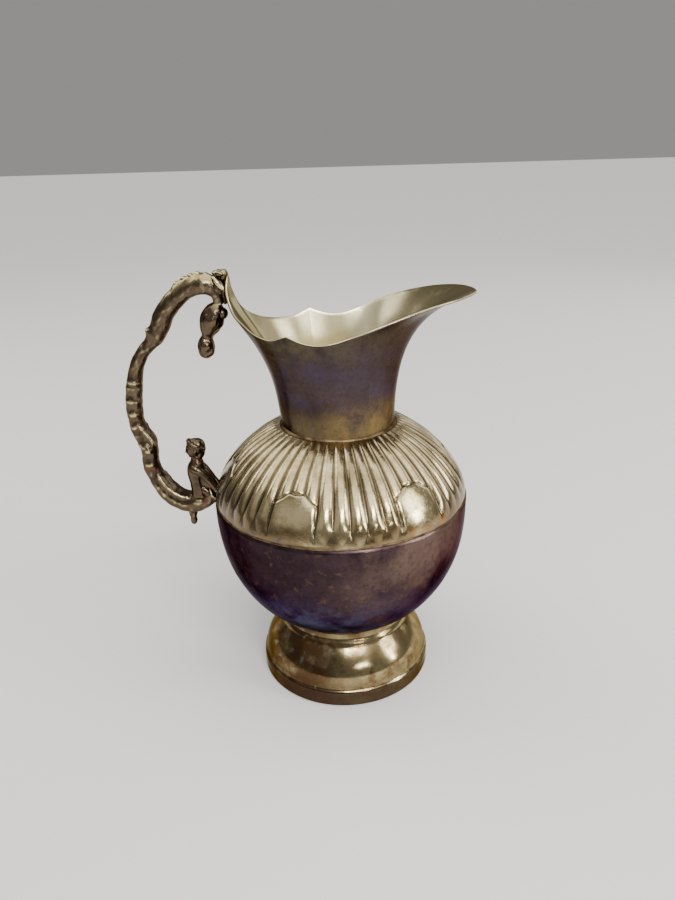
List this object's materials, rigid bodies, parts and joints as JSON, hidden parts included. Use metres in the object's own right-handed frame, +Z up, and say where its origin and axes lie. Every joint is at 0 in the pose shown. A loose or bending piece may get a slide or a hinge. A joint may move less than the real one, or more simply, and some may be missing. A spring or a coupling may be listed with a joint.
{
  "type": "water jug",
  "caption": "Tarnished brass ewer with a reeded shoulder, wavy pouring lip, bell foot and a cast branch handle with a bud and small half figure.",
  "frame": {"origin": "bottom centre of the jug's own box, on the surface it stands on; the jug's turning axis is at x = 0.02353", "axes": "+Z up along the jug's axis, +X towards the pouring lip, the handle on the -X side"},
  "size_m": [0.1834, 0.135, 0.2267],
  "materials": {
    "foot_brass": "spun, half polished, dark tarnish patches",
    "bowl_brass": "spun, heavy brown and violet tarnish",
    "shoulder_brass": "raised reeds, worn bright on the crests",
    "neck_brass": "spun, brown tarnish outside, bright inside",
    "cast_brass": "cast, olive patina, rubbed bright on the high spots",
    "solder": "brazed fillet, dull and slightly coppery"
  },
  "bodies": {
    "root": {"foot": "foot_brass", "lower_bowl": "bowl_brass", "fluted_shoulder": "shoulder_brass", "neck_spout": "neck_brass", "foot_solder": "solder", "belly_solder": "solder", "neck_solder": "solder", "handle_branch": "cast_brass", "handle_bud": "cast_brass", "handle_leaf": "cast_brass", "handle_figure": "cast_brass", "handle_finial": "cast_brass", "rim_braze": "solder", "belly_braze": "solder"}
  },
  "joints": []
}
